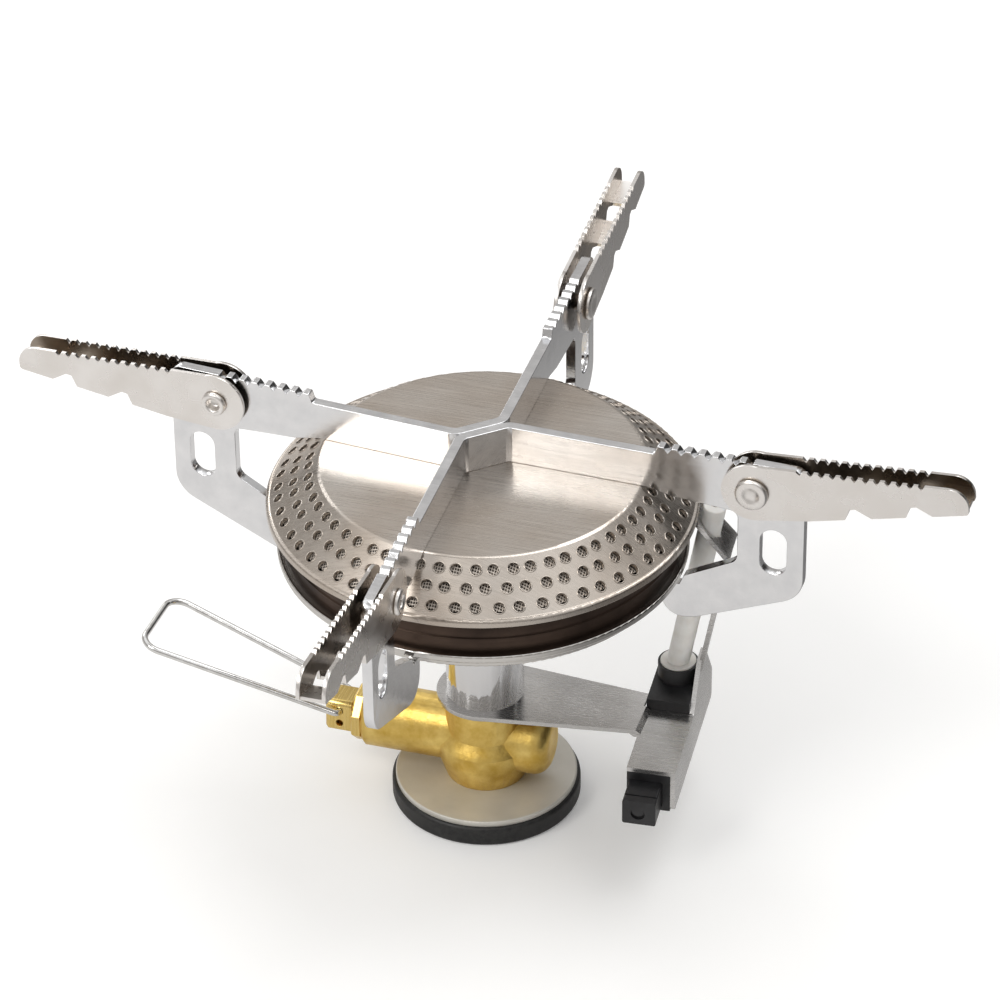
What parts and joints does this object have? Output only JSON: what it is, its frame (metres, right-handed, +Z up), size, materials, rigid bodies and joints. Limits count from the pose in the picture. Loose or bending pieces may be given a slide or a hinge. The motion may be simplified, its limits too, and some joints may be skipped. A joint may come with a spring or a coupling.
{
  "type": "canister stove",
  "caption": "Folding gas canister stove: brass screw-on valve with a wire handle, round multi-hole burner, cross pot support with hinged arms and a side piezo igniter.",
  "frame": {"origin": "on the axis of the canister thread, in the plane of the valve neck's foot, which is 1.4 mm above the foot of the rubber ring", "axes": "+Z up the mixing tube to the burner; +X from the valve to the igniter, so the wire handle points to -X; the button faces -Y"},
  "size_m": [0.1859, 0.1846, 0.0919],
  "materials": {
    "rubber": "matt black rubber",
    "disc_zinc": "satin, clear anodised",
    "brass": "bead-blasted, lightly polished",
    "bronze_mesh": "sintered",
    "steel_pin": "drawn",
    "wire": "bright nickel-plated wire",
    "tube_chrome": "mirror-bright chrome",
    "stainless": "fine brushed stainless",
    "bowl_brown": "dark heat-browned steel",
    "gauze": "woven wire",
    "plated": "bright zinc plate",
    "black_plastic": "moulded, satin black",
    "spring_steel": "drawn wire",
    "ceramic": "unglazed white ceramic"
  },
  "bodies": {
    "frame": {"base_gasket": "rubber", "base_disc": "disc_zinc", "valve_body": "brass", "thread_seal": "rubber", "depressor_pin": "steel_pin", "jet_filter": "bronze_mesh", "jet": "brass", "gland_nut": "brass", "mixing_tube": "tube_chrome", "tube_locknut": "stainless", "burner_pan": "stainless", "burner_bowl": "bowl_brown", "burner_cap": "stainless", "flame_gauze": "gauze", "flow_spreader": "stainless", "pot_strip_a": "plated", "pot_strip_b": "plated", "igniter_bracket": "plated", "piezo_housing": "black_plastic", "piezo_crystal": "black_plastic", "insulator_bush": "ceramic", "electrode_insulator": "ceramic", "electrode_wire": "steel_pin"},
    "extension_right": {"extension_right": "plated", "rivet_right": "plated"},
    "extension_back": {"extension_back": "plated", "rivet_back": "plated"},
    "extension_left": {"extension_left": "plated", "rivet_left": "plated"},
    "extension_front": {"extension_front": "plated", "rivet_front": "plated"},
    "spindle_seal": {"spindle_seal": "rubber"},
    "spindle": {"spindle": "brass"},
    "control_handle": {"control_handle": "wire"},
    "piezo_button": {"piezo_button": "black_plastic", "piezo_spring": "spring_steel", "piezo_hammer": "spring_steel"}
  },
  "joints": [
    {"name": "right_fold", "type": "hinge", "parent": "frame", "child": "extension_right", "pos_m": [0.05223, 0.00082, 0.0796], "axis": [-0.0349, -0.9994, 0], "range_deg": [-9.4, 155.6]},
    {"name": "back_fold", "type": "hinge", "parent": "frame", "child": "extension_back", "pos_m": [0.00296, 0.05184, 0.0796], "axis": [1, 0, 0], "range_deg": [-8, 157]},
    {"name": "left_fold", "type": "hinge", "parent": "frame", "child": "extension_left", "pos_m": [-0.05207, 0.00175, 0.0796], "axis": [0.0872, 0.9962, 0], "range_deg": [-1.4, 163.6]},
    {"name": "front_fold", "type": "hinge", "parent": "frame", "child": "extension_front", "pos_m": [-0.00261, -0.05184, 0.0796], "axis": [-1, -0.007, 0], "range_deg": [-13, 152]},
    {"name": "spindle_travel", "type": "slide", "parent": "frame", "child": "spindle_seal", "axis": [-1, 0, 0], "range_m": [0, 0.00112]},
    {"name": "valve_turn", "type": "hinge", "parent": "spindle_seal", "child": "spindle", "pos_m": [0, 0, 0.012], "axis": [-1, 0, 0], "range_deg": [0, 540]},
    {"name": "handle_fold", "type": "hinge", "parent": "spindle", "child": "control_handle", "pos_m": [-0.0287, 0.00009, 0.01335], "axis": [0, 0.9976, -0.0698], "range_deg": [-106, 35]},
    {"name": "igniter_press", "type": "slide", "parent": "frame", "child": "piezo_button", "axis": [-0.0698, 0.9976, 0], "range_m": [0, 0.004]}
  ],
  "couplings": [
    {"joint": "spindle_travel", "follows": "valve_turn", "m_per_rad": 0.00011937}
  ]
}
